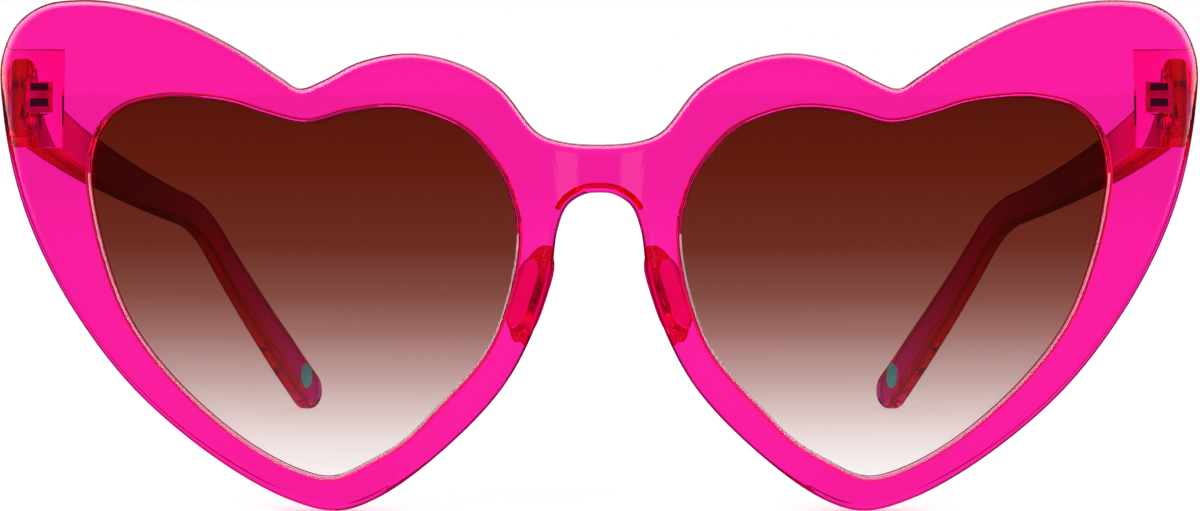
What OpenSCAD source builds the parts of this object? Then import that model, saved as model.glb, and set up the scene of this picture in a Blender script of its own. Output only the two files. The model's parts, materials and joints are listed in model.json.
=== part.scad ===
// Sunglasses with two heart shaped lenses in a clear pink plastic front.
// The front is drawn upright, with its lowest points at height zero, its bridge
// at depth zero and its middle at zero across. The whole is then leaned back a
// little, so that it stands on both heart points and on both temple tips.
// Left and right are the wearer's: the wearer's left is at +X, the front at -Y.

/* [Front] */
// Width of the front over its outer edges
front_w = 150; // [148:0.5:156]
// Height of the front, from the heart points to the top of the outer lobes
front_h = 63.3; // [62.5:0.1:66]
// Thickness of the front plate
front_t = 4.5; // [4:0.1:5.5]
// Radius that the front plate is bent to, as seen from above
front_bend_r = 300; // [260:5:400]

/* [Lenses] */
// Width of the bridge between the two lens openings
bridge_w = 20.2; // [19:0.1:22]
// Width of the rim between a lens opening and the front's outer edge
side_rim = 11.7; // [11:0.1:13]
// Height of the rim between a lens opening and the top of the outer lobe
top_rim = 12.25; // [11.5:0.05:14]
// Height of the lens opening's lowest point above the heart point
lens_rise = 4.25; // [3.5:0.05:5]
// Thickness of a lens
lens_t = 1.8; // [1.4:0.1:2.4]
// Depth of the groove that the lens edge sits in
groove_depth = 0.7; // [0.5:0.05:1]
// Distance from the front face to the groove
groove_inset = 1.1; // [0.8:0.05:1.4]
// Gap between a lens and its groove, on every side
lens_gap = 0.05; // [0.03:0.01:0.1]

/* [Nose pads] */
// Length of a nose pad, along the edge of the heart
pad_l = 12.5; // [11:0.1:14]
// Width of a nose pad
pad_w = 3.7; // [3:0.1:4.2]
// How far a nose pad stands out behind the front
pad_reach = 6.5; // [5:0.1:8]
// Angle that a nose pad splays outwards on its way back
pad_splay = 12; // [8:1:16]
// Radius that the far end of a nose pad is rounded to
pad_end_r = 8; // [7.5:0.1:12]
// Gap that the cement of a nose pad fills
pad_bond = 0.05; // [0.02:0.01:0.08]

/* [Temples] */
// Height of a temple at its hinge end
temple_h = 10.1; // [9.5:0.1:11]
// Height of a temple behind its shoulder
shoulder_h = 7.4; // [6.5:0.1:8.5]
// Height of a temple at its ear bend
neck_h = 4.7; // [4.2:0.1:5.6]
// Height of a temple at its tip
tip_h = 6.1; // [5.2:0.1:6.6]
// Length of a temple from the hinge to the ear bend
temple_run = 79.5; // [76:0.5:88]
// Length of the straight piece behind the ear bend
ear_l = 39; // [35:0.5:43]
// Angle that the ear piece turns down
ear_angle = 30; // [24:1:34]
// Radius of the ear bend, along the lower edge
ear_bend_r = 25.5; // [15:0.5:30]
// Thickness of a temple at its hinge end
temple_t = 3.9; // [3.7:0.1:4.3]
// Thickness of a temple at its tip
tip_t = 3.1; // [2.8:0.1:3.4]
// Radius that the inner face of a temple is bowed to, as seen from above
temple_bow_r = 350; // [320:5:420]
// Angle between a temple's two faces where they start
temple_taper = 1.7; // [1.2:0.1:2.2]
// Distance from the front's outer edge in to the temple
temple_inset = 0.9; // [0.7:0.05:1.2]
// Angle that a temple drops below square to the front
temple_drop = 7.15; // [6:0.05:10]

/* [Hinges] */
// Distance from the top of the outer lobes down to the hinge
hinge_drop = 12.3; // [11.3:0.1:13.3]
// Radius of the hinge barrels
barrel_r = 1.15; // [1.05:0.05:1.2]
// Height of one hinge barrel
leaf_t = 0.95; // [0.85:0.01:1.1]
// Gap between two hinge barrels
leaf_gap = 0.05; // [0.03:0.01:0.08]
// Distance from the temple's inner face to the hinge axis
axis_inset = 0.3; // [0.25:0.05:0.4]
// Distance from the temple seat back to the hinge axis
axis_setback = 1.9; // [1.8:0.05:2.2]
// Thickness of the hinge plates
plate_t = 0.8; // [0.7:0.05:1]
// Height of the hinge plates
plate_h = 3.8; // [3.6:0.05:4.2]
// Width of the front hinge plate
front_plate_w = 3.4; // [3.2:0.05:3.8]
// Length of the temple hinge plate
temple_plate_l = 8; // [7:0.1:10]
// Length of the prongs that hold the front hinge plate
prong_l = 2.2; // [1.8:0.1:2.4]
// Gap between a hinge plate and its pocket
pocket_gap = 0.05; // [0.03:0.01:0.08]
// Radius of the hinge screw
screw_r = 0.6; // [0.5:0.05:0.65]
// Running clearance between the screw and its bores
screw_play = 0.05; // [0.02:0.01:0.08]
// Radius of the screw head
screw_head_r = 1.05; // [0.95:0.05:1.1]
// Height of the screw head
screw_head_h = 0.5; // [0.4:0.05:0.6]
// Width of the screwdriver slot, which is as deep
screw_slot = 0.25; // [0.2:0.01:0.3]
// Gap between a closed temple end and its seat
stop_gap = 0.15; // [0.1:0.01:0.2]

/* [Tip discs] */
// Radius of the plain disc in a temple tip
disc_r = 1.95; // [1.7:0.05:2.1]
// Thickness of the disc
disc_t = 0.5; // [0.4:0.05:0.7]
// How far the disc stands proud of the temple
disc_proud = 0.1; // [0.05:0.01:0.15]

/* [Hidden] */

// Overrun of every cut, and of the stock that a cut trims
over = 1;
// How far the temple seat stands proud of the bent plate behind it
seat_proud = 0.3;
// Wall that the temple seat has round the hinge pocket and the temple end
seat_wall = 1.2;
// Clearance round the barrels, where the temple turns about them
swing_gap = 0.3;
// Steps along one stretch of the front's outline
front_steps = 3;
// Steps along one stretch of a lens outline
lens_steps = 3;
// Steps along one stretch of a nose pad's outline
pad_steps = 4;
// Steps along the straight of a temple, along its bend, its ear and its tip
run_steps = 16;
bend_steps = 6;
ear_steps = 8;
tip_steps = 8;
// Facets of the large bending cylinders, and of the small round parts
bend_fn = 360;
part_fn = 48;

// Half of the front's outline, from the middle of the bridge over the lobes,
// round the heart point and back to the middle of the arch over the nose:
// shares of half the front's width and of its height
heart_shares = [
    [0, 0.712], [0.064, 0.7185], [0.1015, 0.7365], [0.162, 0.822],
    [0.228, 0.869], [0.311, 0.890], [0.394, 0.873], [0.455, 0.837],
    [0.492, 0.8225], [0.5275, 0.8465], [0.5945, 0.8995], [0.695, 0.9595],
    [0.79, 0.992], [0.865, 1], [0.927, 0.99], [0.972, 0.953],
    [0.998, 0.885], [0.9965, 0.79], [0.975, 0.65], [0.938, 0.527],
    [0.873, 0.388], [0.77, 0.234], [0.63, 0.098], [0.51, 0.021],
    [0.432, 0], [0.365, 0.0245], [0.255, 0.119], [0.149, 0.2555],
    [0.0835, 0.43], [0.068, 0.548], [0.052, 0.594], [0.024, 0.616],
    [0, 0.6195],
];

// Outline of one lens opening, from the notch between its lobes outwards:
// shares of its width, from the bridge outwards, and of its height
lens_shares = [
    [0.487, 0.9305], [0.59, 0.957], [0.66, 0.983], [0.739, 0.997],
    [0.825, 1], [0.92, 0.974], [0.975, 0.915], [0.999, 0.81],
    [0.992, 0.72], [0.96, 0.569], [0.903, 0.41], [0.796, 0.252],
    [0.633, 0.094], [0.5, 0.0145], [0.427, 0], [0.338, 0.044],
    [0.263, 0.0965], [0.192, 0.176], [0.0715, 0.333], [0.0185, 0.491],
    [0, 0.64], [0.0139, 0.727], [0.0438, 0.806], [0.118, 0.905],
    [0.2, 0.95], [0.284, 0.969], [0.387, 0.958],
];

// Outline of one nose pad, from its top round its outer side:
// shares of its width and of its length
pad_shares = [
    [0.05, 0.5], [0.42, 0.38], [0.5, 0], [0.4, -0.34],
    [0, -0.5], [-0.4, -0.36], [-0.5, 0], [-0.38, 0.36],
];
// Place of the middle of a nose pad: shares of the bridge's width and of the
// lens opening's height
pad_place_share = [0.41, 0.48];
// Lean of a nose pad, which follows the edge of the heart beside it
pad_lean = 18;

// Places along a temple where its height is set: shares of its whole length
shoulder_share = 0.13;
neck_share = 0.59;
tip_share = 0.95;
// Place of the disc, from the tip back: share of the tip's height
disc_share = 0.62;

// Smooth curve through points: its pace from one to the next, its tangent at
// one, and the steps of the stretch between two
function pace(a, b) = sqrt(norm(b - a));
function tangent(a, b, c) =
    (b - a) / pace(a, b) - (c - a) / (pace(a, b) + pace(b, c)) + (c - b) / pace(b, c);
function blend(b, c, m, n, t) =
    (2 * t ^ 3 - 3 * t ^ 2 + 1) * b + (t ^ 3 - 2 * t ^ 2 + t) * m
    + (3 * t ^ 2 - 2 * t ^ 3) * c + (t ^ 3 - t ^ 2) * n;
function stretch(a, b, c, d, steps) =
    let (m = pace(b, c) * tangent(a, b, c))
    let (n = pace(b, c) * tangent(b, c, d))
    [for (i = [0:steps - 1]) blend(b, c, m, n, i / steps)];
// Closed curve through all of the points
function loop(p, steps) =
    let (n = len(p))
    [for (i = [0:n - 1]) each stretch(p[(i + n - 1) % n], p[i], p[(i + 1) % n], p[(i + 2) % n], steps)];

// Value a share of the way from one value to another
function mixed(a, b, t) = a + (b - a) * t;

// Outline moved outwards by a distance, square to itself
function turned(v) = [v[1], -v[0]] / norm(v);
function grown(p, d) =
    let (n = len(p))
    [for (i = [0:n - 1]) p[i] - d * turned(p[(i + 1) % n] - p[(i + n - 1) % n])];

// Depth of the front plate's two faces at a distance from the middle
function face_y(x) = front_bend_r - sqrt(front_bend_r ^ 2 - x ^ 2);
function back_y(x) = front_bend_r - sqrt((front_bend_r - front_t) ^ 2 - x ^ 2);

// Size of one lens opening, inside its rims
lens_w = (front_w - bridge_w) / 2 - side_rim;
lens_h = front_h - top_rim - lens_rise;

heart_half = [for (s = heart_shares) [s[0] * front_w / 2, s[1] * front_h]];
heart_outline = loop(concat(
    heart_half,
    [for (i = [len(heart_half) - 2:-1:1]) [-heart_half[i][0], heart_half[i][1]]]
), front_steps);
lens_outline = loop(
    [for (s = lens_shares) [bridge_w / 2 + s[0] * lens_w, lens_rise + s[1] * lens_h]],
    lens_steps
);
pad_outline = loop([for (s = pad_shares) [s[0] * pad_w, s[1] * pad_l]], pad_steps);

// Temple faces and hinge axis, on the left side
temple_out_x = front_w / 2 - temple_inset;
temple_in_x = temple_out_x - temple_t;
seat_y = back_y(temple_out_x) + seat_proud;
axis_x = temple_in_x - axis_inset;
hinge_up = front_h - hinge_drop;
axis_y = seat_y + axis_setback;
leaf_pitch = leaf_t + leaf_gap;
stack_h = 3 * leaf_t + 2 * leaf_gap;
bore_r = screw_r + screw_play;
swing_r = barrel_r + swing_gap;

// Lower edge of a temple in the hinge's frame: along it, and up
temple_end = stop_gap - axis_setback;
lower_h = -temple_h / 2;
temple_l = temple_run - temple_end + ear_bend_r * ear_angle * PI / 180 + ear_l;
bend_end = [temple_run + ear_bend_r * sin(ear_angle), lower_h - ear_bend_r * (1 - cos(ear_angle))];
run_edge = [for (i = [0:run_steps - 1])
    [mixed(temple_end, temple_run, i / run_steps), lower_h]];
bend_edge = [for (i = [0:bend_steps - 1]) let (a = ear_angle * i / bend_steps)
    [temple_run + ear_bend_r * sin(a), lower_h - ear_bend_r * (1 - cos(a))]];
ear_edge = [for (i = [0:ear_steps]) bend_end + ear_l * i / ear_steps * [cos(ear_angle), -sin(ear_angle)]];

// Height of a temple at a distance along its lower edge
function eased(t) = 3 * t ^ 2 - 2 * t ^ 3;
function temple_height(s) =
    s < shoulder_share ? mixed(temple_h, shoulder_h, sin(90 * s / shoulder_share))
    : s < neck_share ? mixed(shoulder_h, neck_h, (s - shoulder_share) / (neck_share - shoulder_share))
    : mixed(neck_h, tip_h, eased(min(1, (s - neck_share) / (tip_share - neck_share))));
function run_at(i) = (temple_run - temple_end) * i / run_steps;
function bend_at(i) = temple_run - temple_end + ear_bend_r * ear_angle * PI / 180 * i / bend_steps;
function ear_at(i) = temple_l - ear_l + ear_l * i / ear_steps;
function raised(p, a, s) = p + temple_height(s / temple_l) * [sin(a), cos(a)];
upper_edge = concat(
    [for (i = [0:run_steps - 1]) raised(run_edge[i], 0, run_at(i))],
    [for (i = [0:bend_steps - 1]) raised(bend_edge[i], ear_angle * i / bend_steps, bend_at(i))],
    [for (i = [0:ear_steps]) raised(ear_edge[i], ear_angle, ear_at(i))]
);
tip_centre = ear_edge[ear_steps] + tip_h / 2 * [sin(ear_angle), cos(ear_angle)];
tip_edge = [for (i = [1:tip_steps - 1]) let (a = 180 * i / tip_steps)
    tip_centre + tip_h / 2 * [-cos(a) * sin(ear_angle) + sin(a) * cos(ear_angle),
        -cos(a) * cos(ear_angle) - sin(a) * sin(ear_angle)]];
temple_profile = concat(
    run_edge, bend_edge, ear_edge, tip_edge,
    [for (i = [len(upper_edge) - 1:-1:0]) upper_edge[i]]
);

// Inner and outer face of a temple, as seen along the hinge axis
function bowed_x(y) = axis_inset - temple_bow_r + sqrt(temple_bow_r ^ 2 - (y + axis_setback) ^ 2);
outer_start = [axis_inset + temple_t, -axis_setback];
outer_end = [bowed_x(tip_centre[0]) + tip_t, tip_centre[0]];
outer_chord = norm(outer_end - outer_start);
outer_lean = atan2(outer_start[0] - outer_end[0], outer_end[1] - outer_start[1]);
outer_r = outer_chord / 2 / sin(outer_lean - temple_taper);
outer_centre = outer_start - outer_r * [cos(temple_taper), sin(temple_taper)];

// Disc in a temple tip, in the hinge's frame
disc_centre = tip_centre - disc_share * tip_h * [cos(ear_angle), -sin(ear_angle)];
disc_turn = asin((disc_centre[0] + axis_setback) / temple_bow_r);

// Lean of the whole about the heart points, down onto the temple tips
foot_share = [for (s = heart_shares) if (s[1] == 0) s[0]][0];
foot_y = back_y(foot_share * front_w / 2);
tip_y = axis_y + tip_centre[0] * cos(temple_drop) + tip_centre[1] * sin(temple_drop);
tip_z = hinge_up - tip_centre[0] * sin(temple_drop) + tip_centre[1] * cos(temple_drop);
stand_lean = atan2(tip_z, tip_y - foot_y) - asin(tip_h / 2 / norm([tip_y - foot_y, tip_z]));
front_reach = min([for (p = heart_outline) face_y(p[0]) * cos(stand_lean) + p[1] * sin(stand_lean)]);
back_reach = tip_y * cos(stand_lean) + tip_z * sin(stand_lean) + tip_h / 2;
middle_y = (front_reach + back_reach) / 2;

// Stands the upright drawing on its four feet, with the origin between them
module standing() {
    translate([0, -middle_y, foot_y * sin(stand_lean)])
        rotate([-stand_lean, 0, 0])
            children();
}

// Puts the left side's parts on the side that is asked for
module on_side(side) {
    mirror([side < 0 ? 1 : 0, 0, 0])
        children();
}

// Frame of the left hinge: its axis up, and the open temple along +Y
module at_hinge() {
    translate([axis_x, axis_y, hinge_up])
        rotate([-temple_drop, 0, 0])
            children();
}

// Outline drawn in the plane of the front, extruded through its whole depth
module through_front(outline) {
    translate([0, -over, 0])
        rotate([90, 0, 0])
            mirror([0, 0, 1])
                linear_extrude(height = seat_y + front_t + over)
                    polygon(outline);
}

// Layer of the bent front between two depths below its face
module bent_layer(from, to) {
    translate([0, front_bend_r, -over])
        difference() {
            cylinder(r = front_bend_r - from, h = front_h + 2 * over, $fn = bend_fn);
            translate([0, 0, -over])
                cylinder(r = front_bend_r - to, h = front_h + 4 * over, $fn = bend_fn);
        }
}

// Box with its sides given as ranges
module box(x, y, z) {
    translate([x[0], y[0], z[0]])
        cube([x[1] - x[0], y[1] - y[0], z[1] - z[0]]);
}

// Barrels of the front half of the hinge, or of the slots for its prongs
module front_leaves(gap, from, to) {
    for (z = [-leaf_pitch, leaf_pitch])
        box([-barrel_r - gap, barrel_r + gap], [from, to], [z - leaf_t / 2 - gap, z + leaf_t / 2 + gap]);
}

// Block that the end of the temple closes against, flush with the front's face
module temple_seat() {
    intersection() {
        through_front(heart_outline);
        translate([0, front_bend_r, 0])
            cylinder(r = front_bend_r, h = front_h, $fn = bend_fn);
        at_hinge()
            box([-front_plate_w / 2 - seat_wall, temple_t + temple_inset + seat_wall],
                [-axis_setback - front_t - seat_proud, -axis_setback],
                [-temple_h / 2 - seat_wall, temple_h / 2 + seat_wall]);
    }
}

// Room behind the seat, and the pocket for the front half of the hinge
module seat_cuts() {
    at_hinge() {
        box([-front_plate_w / 2 - seat_wall, temple_t + temple_inset + seat_wall],
            [-axis_setback, -axis_setback + front_t],
            [-temple_h / 2 - seat_wall, temple_h / 2 + seat_wall]);
        box([-front_plate_w / 2 - pocket_gap, front_plate_w / 2 + pocket_gap],
            [-axis_setback - plate_t - pocket_gap, -axis_setback + over],
            [-plate_h / 2 - pocket_gap, plate_h / 2 + pocket_gap]);
        front_leaves(pocket_gap, -axis_setback - plate_t - prong_l - pocket_gap, -axis_setback);
    }
}

module front_frame() {
    color("deeppink")
        standing()
            difference() {
                union() {
                    intersection() {
                        bent_layer(0, front_t);
                        through_front(heart_outline);
                    }
                    for (side = [1, -1])
                        on_side(side) temple_seat();
                }
                for (side = [1, -1])
                    on_side(side) {
                        through_front(lens_outline);
                        intersection() {
                            bent_layer(groove_inset, groove_inset + lens_t + 2 * lens_gap);
                            through_front(grown(lens_outline, groove_depth));
                        }
                        seat_cuts();
                    }
            }
}

module lens(side) {
    color("saddlebrown")
        standing()
            on_side(side)
                intersection() {
                    bent_layer(groove_inset + lens_gap, groove_inset + lens_gap + lens_t);
                    through_front(grown(lens_outline, groove_depth - lens_gap));
                }
}

module nose_pad(side) {
    pad_x = pad_place_share[0] * bridge_w;
    pad_z = lens_rise + pad_place_share[1] * lens_h;
    color("crimson")
        standing()
            on_side(side)
                intersection() {
                    translate([pad_x, back_y(pad_x), pad_z])
                        rotate([0, -pad_lean, -pad_splay])
                            rotate([90, 0, 0])
                                linear_extrude(height = 2 * (pad_reach + front_t), center = true)
                                    polygon(pad_outline);
                    translate([pad_x - pad_w - pad_reach, back_y(pad_x) + pad_reach - pad_end_r, pad_z])
                        rotate([0, 90, 0])
                            cylinder(r = pad_end_r, h = 2 * (pad_w + pad_reach), $fn = part_fn);
                    translate([0, front_bend_r, 0])
                        cylinder(r = front_bend_r - front_t - pad_bond, h = front_h, $fn = bend_fn);
                }
}

module front_hinge(side) {
    color("silver")
        standing()
            on_side(side)
                at_hinge()
                    difference() {
                        union() {
                            box([-front_plate_w / 2, front_plate_w / 2],
                                [-axis_setback - plate_t, -axis_setback],
                                [-plate_h / 2, plate_h / 2]);
                            front_leaves(0, -axis_setback - plate_t - prong_l, 0);
                            for (z = [-leaf_pitch, leaf_pitch])
                                translate([0, 0, z])
                                    cylinder(r = barrel_r, h = leaf_t, center = true, $fn = part_fn);
                        }
                        cylinder(r = bore_r, h = stack_h + 2 * over, center = true, $fn = part_fn);
                    }
}

module hinge_screw(side) {
    color("gainsboro")
        standing()
            on_side(side)
                at_hinge()
                    difference() {
                        union() {
                            translate([0, 0, -stack_h / 2])
                                cylinder(r = screw_r, h = stack_h + screw_head_h / 2, $fn = part_fn);
                            translate([0, 0, stack_h / 2 + leaf_gap])
                                cylinder(r = screw_head_r, h = screw_head_h, $fn = part_fn);
                        }
                        box([-barrel_r, barrel_r], [-screw_slot / 2, screw_slot / 2],
                            [stack_h / 2 + leaf_gap + screw_head_h - screw_slot, stack_h + over]);
                    }
}

module temple_hinge(side) {
    color("silver")
        standing()
            on_side(side)
                at_hinge()
                    difference() {
                        union() {
                            cylinder(r = barrel_r, h = leaf_t, center = true, $fn = part_fn);
                            box([0, axis_inset / 2 + plate_t], [0, swing_r + plate_t],
                                [-leaf_t / 2, leaf_t / 2]);
                            box([axis_inset / 2, axis_inset / 2 + plate_t],
                                [swing_r, swing_r + temple_plate_l],
                                [-plate_h / 2, plate_h / 2]);
                        }
                        cylinder(r = bore_r, h = stack_h + 2 * over, center = true, $fn = part_fn);
                    }
}

// Solid of a temple before its pockets are cut
module temple_blank() {
    far_x = bowed_x(tip_centre[0] + tip_h);
    difference() {
        intersection() {
            translate([far_x - over, 0, 0])
                rotate([90, 0, 90])
                    linear_extrude(height = temple_t + axis_inset - far_x + 2 * over)
                        polygon(temple_profile);
            translate([outer_centre[0], outer_centre[1], -temple_run])
                cylinder(r = outer_r, h = 2 * temple_run, $fn = 2 * bend_fn);
        }
        translate([axis_inset - temple_bow_r, -axis_setback, -temple_run - over])
            cylinder(r = temple_bow_r, h = 2 * (temple_run + over), $fn = 2 * bend_fn);
    }
}

module temple(side) {
    room_h = stack_h / 2 + screw_head_h + swing_gap;
    pocket_x = axis_inset / 2 + plate_t + pocket_gap;
    color("crimson")
        standing()
            on_side(side)
                at_hinge()
                    difference() {
                        temple_blank();
                        cylinder(r = swing_r, h = 2 * room_h, center = true, $fn = part_fn);
                        box([-over, swing_r], [temple_end - over, 0], [-room_h, room_h]);
                        box([-over, pocket_x], [0, swing_r + plate_t],
                            [-leaf_t / 2 - pocket_gap, leaf_t / 2 + pocket_gap]);
                        box([-over, pocket_x],
                            [swing_r - pocket_gap, swing_r + temple_plate_l + pocket_gap],
                            [-plate_h / 2 - pocket_gap, plate_h / 2 + pocket_gap]);
                        disc_seat(disc_r + pocket_gap, disc_t - disc_proud + pocket_gap, over);
                    }
}

// Round disc, or the seat that is cut for it, let into the inner face of a tip
module disc_seat(radius, depth, proud) {
    translate([bowed_x(disc_centre[0]), disc_centre[0], disc_centre[1]])
        rotate([0, 90, disc_turn])
            translate([0, 0, -proud])
                cylinder(r = radius, h = depth + proud, $fn = part_fn);
}

module tip_disc(side) {
    color("cadetblue")
        standing()
            on_side(side)
                at_hinge()
                    disc_seat(disc_r, disc_t - disc_proud, disc_proud);
}

module lens_left() { lens(1); }
module lens_right() { lens(-1); }
module nose_pad_left() { nose_pad(1); }
module nose_pad_right() { nose_pad(-1); }
module front_hinge_left() { front_hinge(1); }
module front_hinge_right() { front_hinge(-1); }
module hinge_screw_left() { hinge_screw(1); }
module hinge_screw_right() { hinge_screw(-1); }
module temple_left() { temple(1); }
module temple_right() { temple(-1); }
module temple_hinge_left() { temple_hinge(1); }
module temple_hinge_right() { temple_hinge(-1); }
module tip_disc_left() { tip_disc(1); }
module tip_disc_right() { tip_disc(-1); }

front_frame();
lens_left();
lens_right();
nose_pad_left();
nose_pad_right();
front_hinge_left();
front_hinge_right();
hinge_screw_left();
hinge_screw_right();
temple_left();
temple_right();
temple_hinge_left();
temple_hinge_right();
tip_disc_left();
tip_disc_right();
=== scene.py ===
"""Heart shaped sunglasses: rounded plastic, tinted lenses and metal over the fixed frame.

Lengths are in millimetres in the upright drawing of the front, whose bridge is at depth
zero and whose lowest points are at height zero. A Stance turns them into the model's own
frame in metres. Left is the wearer's left, at +X, and the front faces -Y.
"""

import json
import logging
import math
from dataclasses import dataclass
from enum import Enum
from typing import Callable, Iterable, Sequence

import bmesh
import bpy
from mathutils import Matrix, Vector

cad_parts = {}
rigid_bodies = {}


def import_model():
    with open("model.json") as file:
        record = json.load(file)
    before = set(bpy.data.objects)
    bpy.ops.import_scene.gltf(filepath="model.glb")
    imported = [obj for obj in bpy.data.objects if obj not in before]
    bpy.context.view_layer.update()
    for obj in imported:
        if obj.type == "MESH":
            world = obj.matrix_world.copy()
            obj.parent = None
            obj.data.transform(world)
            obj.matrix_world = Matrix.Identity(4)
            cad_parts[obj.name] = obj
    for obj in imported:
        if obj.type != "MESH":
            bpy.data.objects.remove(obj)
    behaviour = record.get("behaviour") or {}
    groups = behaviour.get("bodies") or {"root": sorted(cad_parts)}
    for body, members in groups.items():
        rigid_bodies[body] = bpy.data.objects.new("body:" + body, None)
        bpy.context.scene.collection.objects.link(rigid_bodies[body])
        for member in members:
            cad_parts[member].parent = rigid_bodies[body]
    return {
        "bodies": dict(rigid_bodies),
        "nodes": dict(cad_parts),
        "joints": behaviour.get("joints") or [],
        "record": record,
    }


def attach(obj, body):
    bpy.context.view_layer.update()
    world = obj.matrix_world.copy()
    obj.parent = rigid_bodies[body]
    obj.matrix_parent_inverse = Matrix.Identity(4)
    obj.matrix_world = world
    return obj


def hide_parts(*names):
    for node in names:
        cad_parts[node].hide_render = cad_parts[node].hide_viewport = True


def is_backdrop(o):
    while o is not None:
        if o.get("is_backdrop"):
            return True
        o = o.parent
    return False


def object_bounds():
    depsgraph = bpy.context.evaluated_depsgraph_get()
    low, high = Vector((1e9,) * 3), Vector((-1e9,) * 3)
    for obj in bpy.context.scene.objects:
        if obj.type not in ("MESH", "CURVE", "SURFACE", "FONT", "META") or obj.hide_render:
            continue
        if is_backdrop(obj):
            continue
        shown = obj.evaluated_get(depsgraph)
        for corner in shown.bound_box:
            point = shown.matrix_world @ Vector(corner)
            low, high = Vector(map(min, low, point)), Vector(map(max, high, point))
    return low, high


LOG = logging.getLogger("sunglasses")
WHITE = "#FFFFFF"
# Metres in a millimetre
MM = 0.001
# Millimetres that a cutting solid runs on past what it cuts
OVER = 1.0
# A face looks along an axis where this much of its normal does
FACING = 0.9
# Vertex value that is 0 on a plate's faces and 1 where its rim is steepest; the plastics
# paint shade on their rims and walls by it
PAINTED_SHADE_MASK = "edge"

# Short names for the type hints
Pair = tuple[float, float]
Triple = tuple[float, float, float]
Stops = Sequence[tuple[float, str]]
ShadeStops = tuple[tuple[float, str, str], ...]
Warp = Callable[[Vector], Vector]
BMesh = bmesh.types.BMesh
BMVert = bmesh.types.BMVert
Material = bpy.types.Material
Node = bpy.types.Node
NodeTree = bpy.types.NodeTree
Object = bpy.types.Object
Socket = bpy.types.NodeSocket


class Side(Enum):
    """The wearer's left or right, as the sign of X."""

    LEFT = 1
    RIGHT = -1

    @property
    def tag(self) -> str:
        """Ending of the names of this side's pieces."""
        return self.name.lower()


class Cut(Enum):
    """What a tool solid does to the solid that it meets."""

    JOIN = "UNION"
    REMOVE = "DIFFERENCE"
    KEEP = "INTERSECT"


def linear(hex_colour: str) -> tuple[float, float, float, float]:
    """Turns an sRGB hex colour linear.

    Args:
        hex_colour: The colour, such as "#FF10A0".

    Returns:
        The linear red, green and blue, and a full alpha.
    """
    parts = [int(hex_colour[i : i + 2], 16) / 255 for i in (1, 3, 5)]
    r, g, b = (c / 12.92 if c <= 0.04045 else ((c + 0.055) / 1.055) ** 2.4 for c in parts)
    return r, g, b, 1.0


def add_node(
    tree: NodeTree, kind: str, inputs: dict[str | int, object] | None = None, **settings: object
) -> Node:
    """Adds a node with its settings and links.

    Args:
        tree: The node tree.
        kind: The node's type.
        inputs: For each input's name or number, a value or the socket that feeds it.
        **settings: The node's own properties.

    Returns:
        The node.
    """
    node = tree.nodes.new(kind)
    for name, value in settings.items():
        setattr(node, name, value)
    for name, value in (inputs or {}).items():
        if isinstance(value, Socket):
            tree.links.new(value, node.inputs[name])
        else:
            node.inputs[name].default_value = value
    return node


def blend(tree: NodeTree, share: Socket, stops: Stops) -> Socket:
    """Blends colours along a share.

    Args:
        tree: The node tree.
        share: The share, from zero to one.
        stops: Positions from 0 to 1, in order, with their colours.

    Returns:
        The blended colour.
    """
    ramp = add_node(tree, "ShaderNodeValToRGB", {"Fac": share})
    elements = ramp.color_ramp.elements
    while len(elements) < len(stops):
        elements.new(1.0)
    for element, (position, colour) in zip(elements, stops):
        element.position, element.color = position, linear(colour)
    return ramp.outputs["Color"]


def spread(tree: NodeTree, value: Socket, low: float, high: float) -> Socket:
    """Share that a value has covered of the way from low to high, held within zero and one."""
    limits = {"Value": value, "From Min": low, "From Max": high}
    return add_node(tree, "ShaderNodeMapRange", limits).outputs[0]


def between(tree: NodeTree, share: Socket, low: float, high: float) -> Socket:
    """Value that runs from low to high while a share runs from zero to one."""
    limits = {"Value": share, "To Min": low, "To Max": high}
    return add_node(tree, "ShaderNodeMapRange", limits).outputs[0]


def model_place(tree: NodeTree) -> Socket:
    """Place in the model, in metres."""
    return add_node(tree, "ShaderNodeTexCoord").outputs["Object"]


def model_axis(tree: NodeTree, axis: str) -> Socket:
    """Place along one of the model's axes, in metres."""
    return add_node(tree, "ShaderNodeSeparateXYZ", {0: model_place(tree)}).outputs[axis]


def mix_colours(
    tree: NodeTree, share: float | Socket, first: object, second: object, how: str = "MIX"
) -> Socket:
    """Mixes two colours, each a socket or linear, which are the node's inputs 6 and 7."""
    inputs = {0: share, 6: first, 7: second}
    return add_node(tree, "ShaderNodeMix", inputs, data_type="RGBA", blend_type=how).outputs[2]


def mix_shaders(tree: NodeTree, share: Socket, first: Node, second: Node) -> Node:
    """Mixes two shaders: the first alone where the share is zero, the second where it is one."""
    return add_node(tree, "ShaderNodeMixShader", {0: share, 1: first.outputs[0], 2: second.outputs[0]})


def in_view(tree: NodeTree, path: Node) -> Socket:
    """One for what the camera sees, straight or through glass, and zero for other light."""
    kinds = {0: path.outputs["Is Camera Ray"], 1: path.outputs["Is Transmission Ray"]}
    return add_node(tree, "ShaderNodeMath", kinds, operation="MAXIMUM").outputs[0]


def new_material(name: str) -> tuple[Material, NodeTree]:
    """Makes an empty material.

    Args:
        name: The material's name.

    Returns:
        The material and its cleared node tree.
    """
    material = bpy.data.materials.new(name)
    material.use_nodes = True
    material.node_tree.nodes.clear()
    return material, material.node_tree


def per_mm(size: float) -> float:
    """Scale of a pattern whose features are that many millimetres, on Object coordinates in metres."""
    return 1 / (size * MM)


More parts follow.
